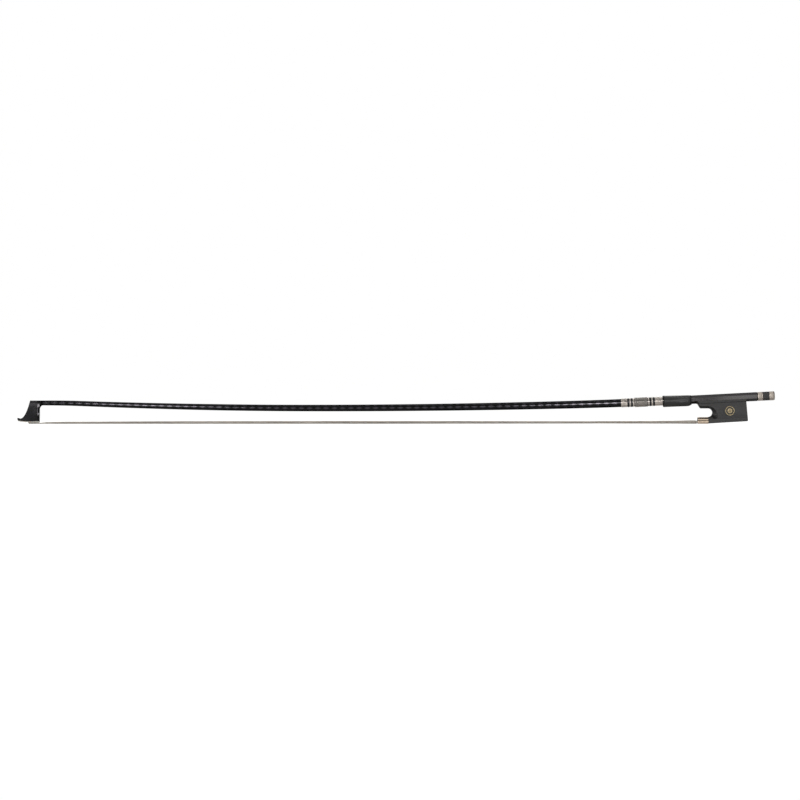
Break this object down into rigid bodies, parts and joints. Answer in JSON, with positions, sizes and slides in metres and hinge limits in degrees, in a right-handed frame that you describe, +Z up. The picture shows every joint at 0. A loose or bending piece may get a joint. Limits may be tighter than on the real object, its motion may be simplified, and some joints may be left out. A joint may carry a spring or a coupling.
{
  "type": "violin bow",
  "caption": "Straight bow with a cambered stick, a ribbon of hair, a wire-wound grip and a frog that an octagonal button draws along the stick to tighten the hair.",
  "frame": {"origin": "middle of the bow's bounding box in plan, at the level of the ferrule's flat underside", "axes": "+X along the bow from the head to the button, +Z up from the hair to the stick, +Y across the hair"},
  "size_m": [0.745, 0.0132, 0.032],
  "materials": {
    "black_leather": "fine grain",
    "black_thread": "wound thread",
    "bone": "satin",
    "bound_hair": "bound hair",
    "brass": "machined",
    "carbon_fibre": "gloss",
    "ebony": "satin",
    "horsehair": "straight hair",
    "maple": "raw",
    "nickel_silver": "polished",
    "pearl": "nacre",
    "silver_wire": "wound wire",
    "steel": "machined"
  },
  "bodies": {
    "stick": {"hair_in_head": "horsehair", "hair_ribbon": "horsehair", "head_knot": "bound_hair", "head_plug": "maple", "stick": "carbon_fibre", "thumb_leather": "black_leather", "tip_liner": "ebony", "tip_plate": "bone", "winding_01_silver": "silver_wire", "winding_02_black": "black_thread", "winding_03_silver": "silver_wire", "winding_04_black": "black_thread", "winding_05_silver": "silver_wire", "winding_06_core": "black_thread", "winding_06_wire": "silver_wire", "winding_07_silver": "silver_wire", "winding_08_black": "black_thread", "winding_09_silver": "silver_wire", "winding_10_black": "black_thread", "winding_11_silver": "silver_wire"},
    "frog": {"eye_dot_left": "pearl", "eye_dot_right": "pearl", "eye_ring_left": "nickel_silver", "eye_ring_right": "nickel_silver", "eyelet": "brass", "ferrule": "nickel_silver", "frog_body": "ebony", "frog_knot": "bound_hair", "frog_plug": "maple", "hair_in_frog": "horsehair", "pearl_slide": "pearl", "slide_backing": "ebony", "spread_wedge": "maple", "underslide": "nickel_silver"},
    "screw": {"button_cap": "nickel_silver", "button_collar": "nickel_silver", "button_core": "ebony", "screw_shaft": "steel"}
  },
  "joints": [
    {"name": "screw_turn", "type": "hinge", "parent": "stick", "child": "screw", "pos_m": [0.35506, 0, 0.02683], "axis": [-0.9988, 0, -0.0488], "range_deg": [-2160, 360]},
    {"name": "frog_slide", "type": "slide", "parent": "stick", "child": "frog", "axis": [0.9988, 0, 0.0488], "range_m": [-0.0042, 0.0007], "deforming": ["hair_ribbon"]}
  ],
  "couplings": [
    {"joint": "screw_turn", "follows": "frog_slide", "rad_per_m": 8976}
  ]
}
